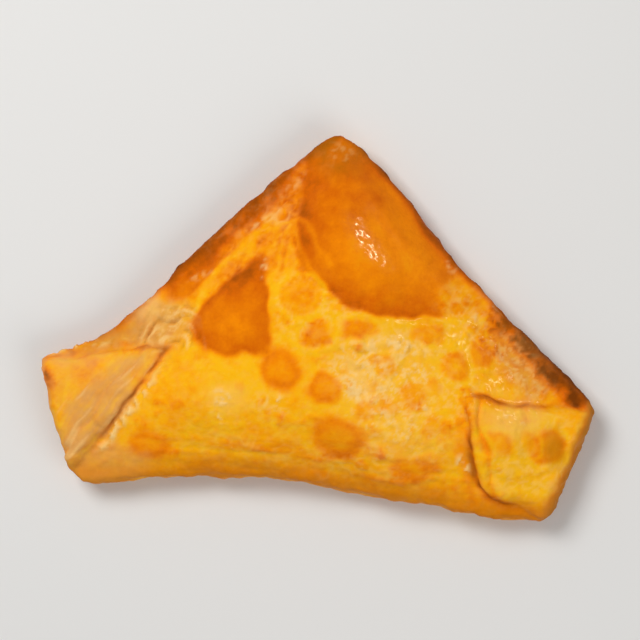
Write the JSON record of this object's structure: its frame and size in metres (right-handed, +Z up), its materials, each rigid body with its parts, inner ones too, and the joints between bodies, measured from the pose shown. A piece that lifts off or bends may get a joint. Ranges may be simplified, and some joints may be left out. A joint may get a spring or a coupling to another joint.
{
  "type": "crab rangoon",
  "caption": "Deep-fried filled wonton packet: a square wrapper folded into a low triangle over its filling, sharp corners folded in on top, blistered golden crust.",
  "frame": {"origin": "on the surface it lies on, under the middle of its extents", "axes": "+X along the long fold towards the end with the four-sided flap, +Y towards the right-angled tip, +Z up"},
  "size_m": [0.0932, 0.062, 0.0143],
  "materials": {
    "fried_dough": "golden fried dough, oily sheen"
  },
  "bodies": {
    "root": {"rangoon": "fried_dough"}
  },
  "joints": []
}
